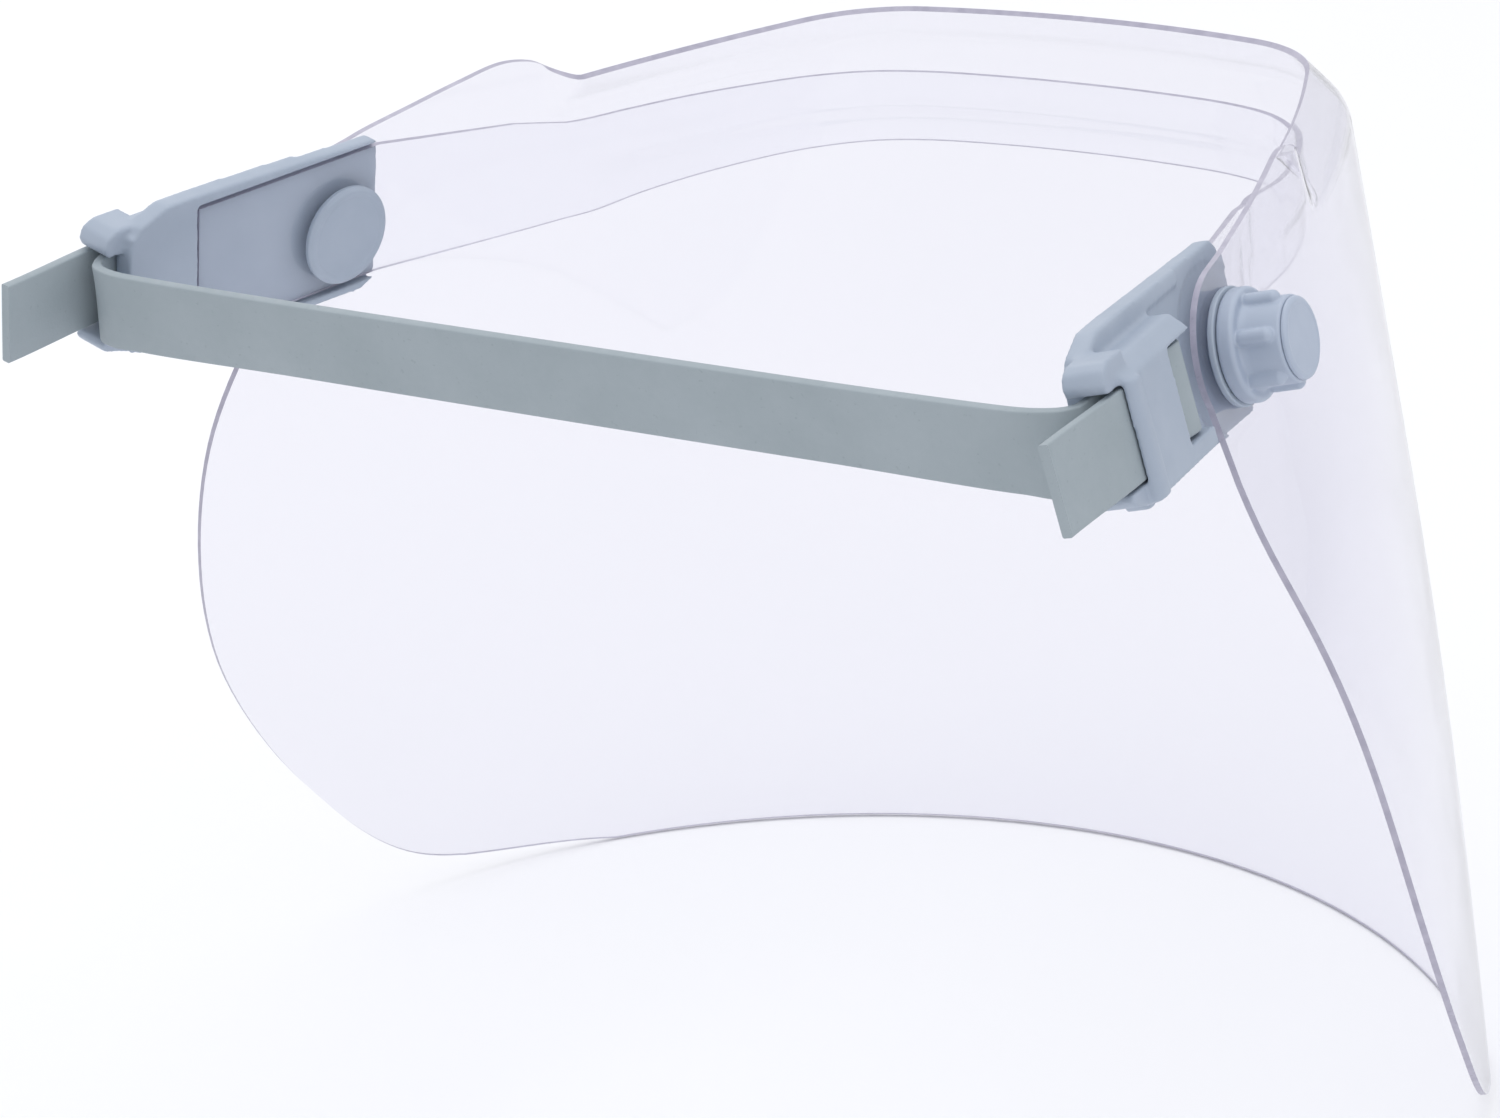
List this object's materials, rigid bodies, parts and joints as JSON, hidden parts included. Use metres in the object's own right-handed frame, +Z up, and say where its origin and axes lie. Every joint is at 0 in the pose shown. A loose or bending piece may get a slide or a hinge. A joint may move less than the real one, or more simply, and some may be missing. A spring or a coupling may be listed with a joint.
{
  "type": "face shield",
  "caption": "Clear wrap-round face shield on side brackets with clamp knobs, a brow strip and a rear rubber strap; tilts up about the knobs.",
  "frame": {"origin": "midway between the centres of the two clamp screws, on the mirror plane", "axes": "+X towards the object's left side, -Y out through the front of the visor, +Z up"},
  "size_m": [0.3472, 0.2618, 0.2315],
  "materials": {
    "clear_sheet": "clear polished sheet, violet cut edges",
    "clear_strip": "clear polished sheet, violet cut edges",
    "bracket_plastic": "moulded, satin",
    "knob_plastic": "moulded, satin",
    "washer_rubber": "smooth",
    "strap_rubber": "matt elastic strap"
  },
  "bodies": {
    "carrier": {"inner_strip": "clear_strip", "bracket_left": "bracket_plastic", "bracket_right": "bracket_plastic", "strap": "strap_rubber"},
    "visor": {"outer_shell": "clear_sheet", "washer_left": "washer_rubber", "washer_right": "washer_rubber", "clamp_screw_left": "bracket_plastic", "clamp_screw_right": "bracket_plastic"},
    "knob_left_body": {"knob_left": "knob_plastic", "knob_cap_left": "knob_plastic"},
    "knob_right_body": {"knob_right": "knob_plastic", "knob_cap_right": "knob_plastic"}
  },
  "joints": [
    {"name": "visor_tilt", "type": "hinge", "parent": "carrier", "child": "visor", "pos_m": [0, -0.0006, 0.00082], "axis": [-1, 0, 0], "range_deg": [0, 30]},
    {"name": "knob_left_turn", "type": "hinge", "parent": "visor", "child": "knob_left_body", "pos_m": [0.1325, -0.00138, 0.00187], "axis": [0.9661, -0.153, 0.2079], "range_deg": [0, 360]},
    {"name": "knob_right_turn", "type": "hinge", "parent": "visor", "child": "knob_right_body", "pos_m": [-0.1325, -0.00138, 0.00187], "axis": [-0.9661, -0.153, 0.2079], "range_deg": [-360, 0]}
  ]
}
